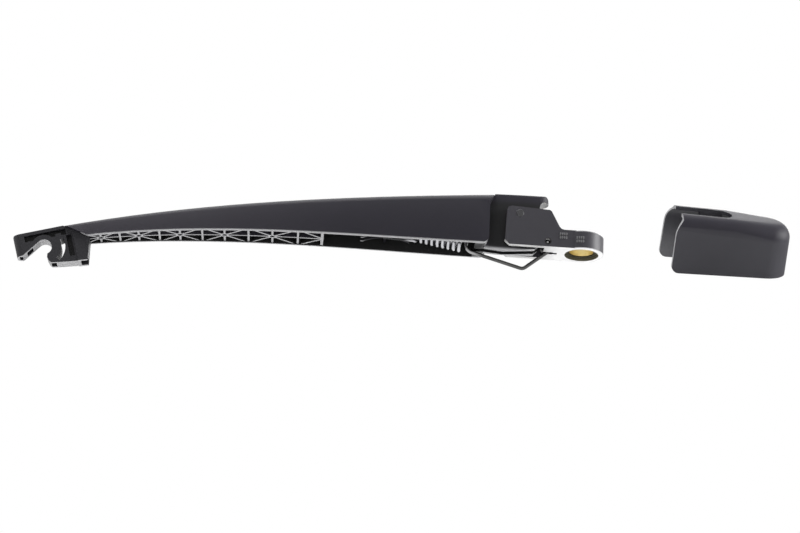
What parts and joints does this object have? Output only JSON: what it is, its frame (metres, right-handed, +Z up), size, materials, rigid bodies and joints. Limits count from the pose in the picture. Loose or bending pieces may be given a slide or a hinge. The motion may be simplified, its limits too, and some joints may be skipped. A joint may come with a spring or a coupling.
{
  "type": "wiper arm",
  "caption": "Rear window wiper arm: ribbed moulded arm hinged on a die-cast spindle head with a spring and bent-wire link, a hooked blade clip, and its head cap laid beside it.",
  "frame": {"origin": "on the spindle axis, in the plane of the mounting head's underside, 1.9 mm below the bush's straight land", "axes": "+Z up the spindle axis away from the window, -X towards the blade end of the arm, +Y completes the right-handed frame"},
  "size_m": [0.38, 0.0939, 0.0596],
  "materials": {
    "arm": "fine grained black",
    "blade_clip": "satin black",
    "mounting_head": "thin dark grey paint on a casting",
    "taper_bush": "yellow passivated",
    "hinge_pin": "painted over with the head",
    "link_pin": "bright turned",
    "pull_link": "drawn wire, dull grey",
    "anchor_pin": "bright turned",
    "tension_spring": "bright zinc",
    "head_cap": "fine grained black"
  },
  "bodies": {
    "head": {"mounting_head": "mounting_head", "taper_bush": "taper_bush", "hinge_pin": "hinge_pin", "link_pin": "link_pin", "head_cap": "head_cap"},
    "arm": {"arm": "arm", "blade_clip": "blade_clip", "anchor_pin": "anchor_pin"},
    "link": {"pull_link": "pull_link"},
    "spring": {"tension_spring": "tension_spring"}
  },
  "joints": [
    {"name": "arm_lift", "type": "hinge", "parent": "head", "child": "arm", "pos_m": [-0.033, 0, 0.017], "axis": [0, 1, 0], "range_deg": [0, 65]},
    {"name": "link_swing", "type": "hinge", "parent": "head", "child": "link", "pos_m": [-0.0184, 0, 0.0028], "axis": [0, 1, 0], "range_deg": [0, 51.3]},
    {"name": "spring_stretch", "type": "slide", "parent": "link", "child": "spring", "axis": [-0.9997, 0, 0.0231], "range_m": [0, 0.00669], "deforming": ["tension_spring"]}
  ],
  "couplings": [
    {"joint": "link_swing", "follows": "arm_lift", "ratio": 0.7842},
    {"joint": "spring_stretch", "follows": "arm_lift", "m_per_rad": 0.005811}
  ]
}
